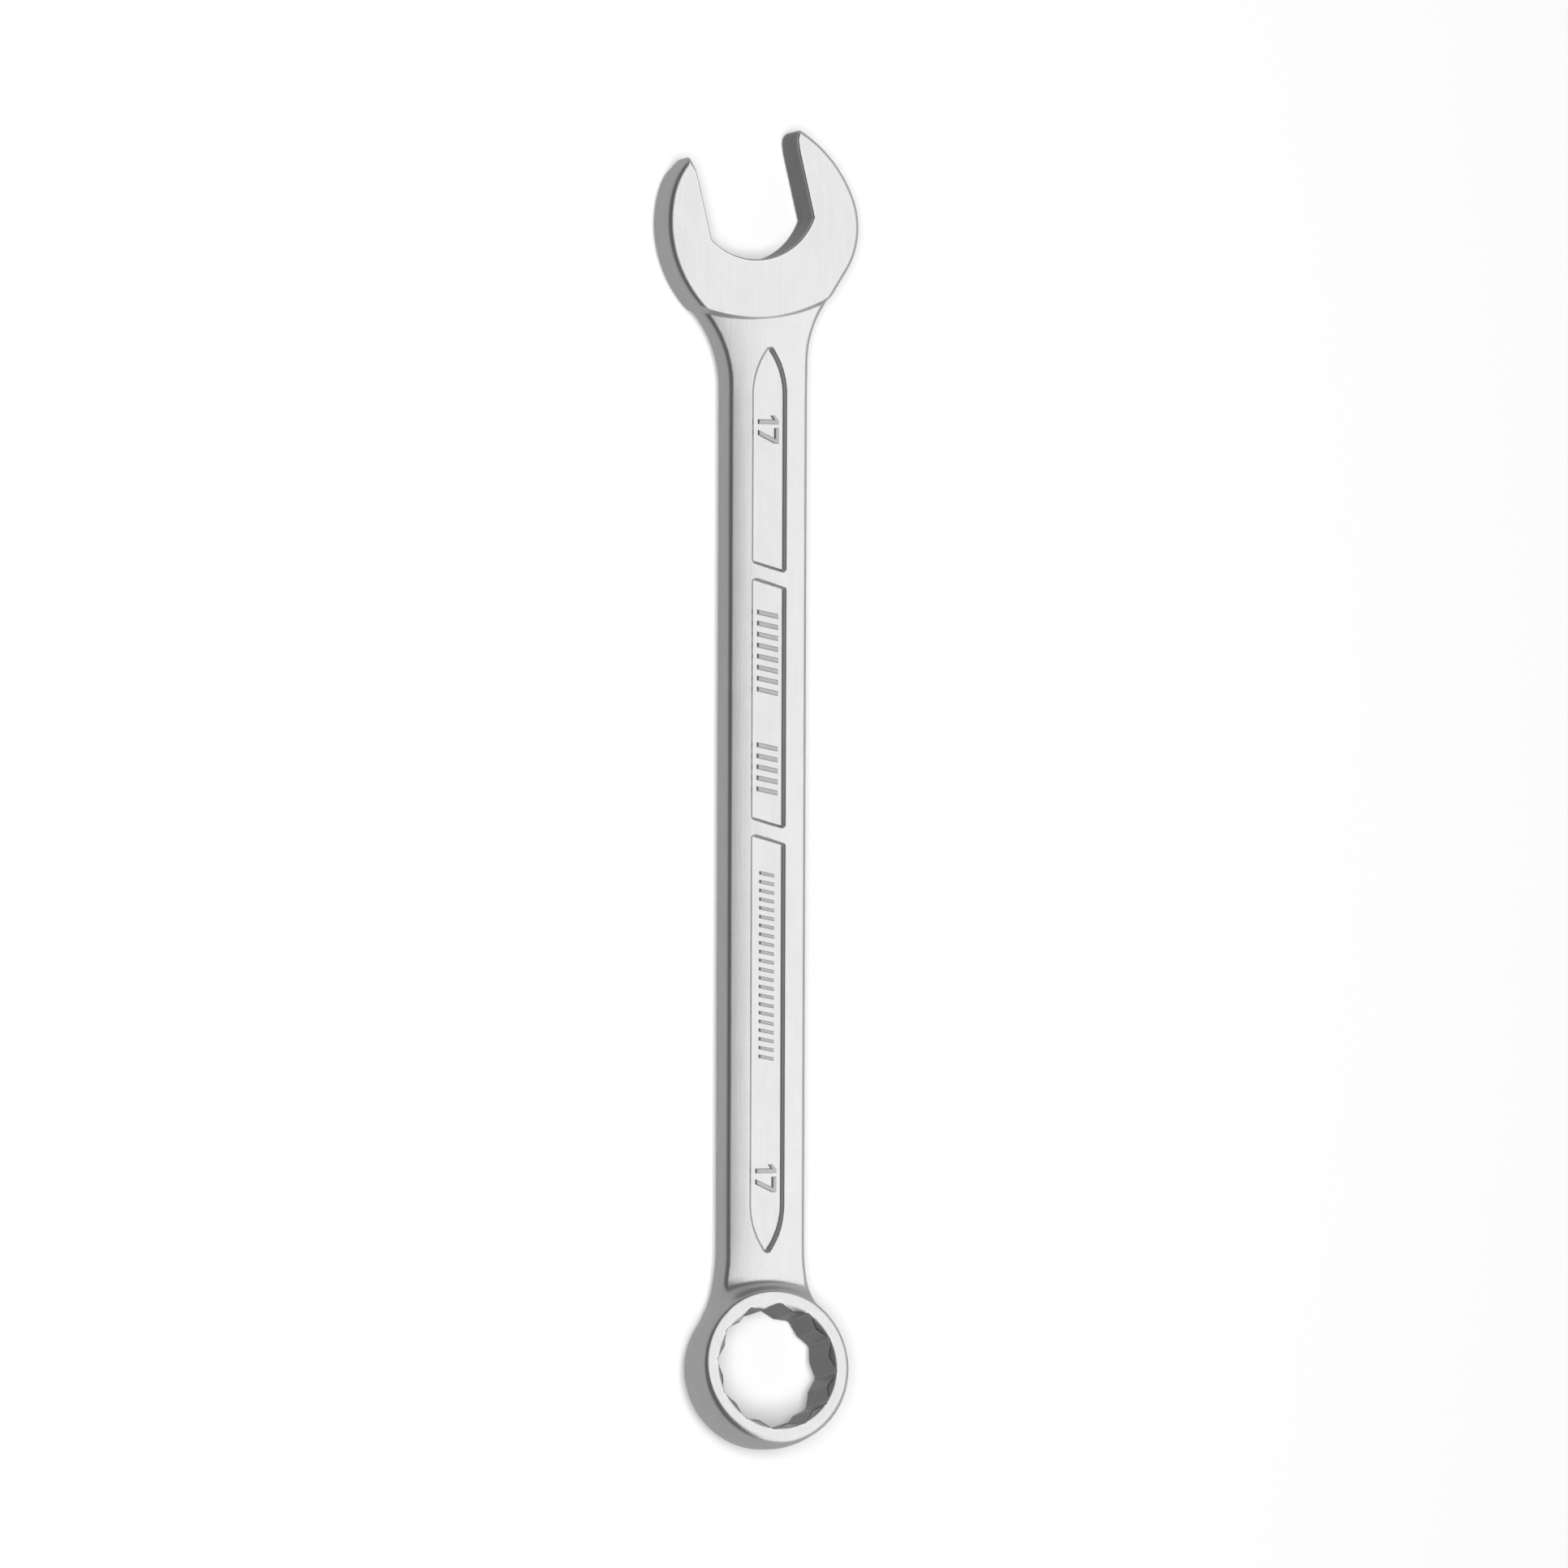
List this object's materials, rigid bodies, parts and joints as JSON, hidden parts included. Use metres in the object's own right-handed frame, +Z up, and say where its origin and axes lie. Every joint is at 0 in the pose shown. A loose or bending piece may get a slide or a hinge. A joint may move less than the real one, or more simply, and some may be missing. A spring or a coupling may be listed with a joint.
{
  "type": "combination wrench",
  "caption": "Forged hand wrench with an angled open jaw at one end and a tilted twelve-point ring at the other, for 17 mm hexagons.",
  "frame": {"origin": "centre of the wrench's bounding box, on the flat surface it lies on", "axes": "+X along the handle from the open jaw to the ring, +Y across it, +Z up through the front face, towards which the ring leans out"},
  "size_m": [0.2044, 0.0318, 0.0139],
  "materials": {
    "forging": "satin chrome plate on forged steel, with brushed grain along the handle"
  },
  "bodies": {
    "root": {"open_end": "forging", "shank": "forging", "ring_end": "forging"}
  },
  "joints": []
}
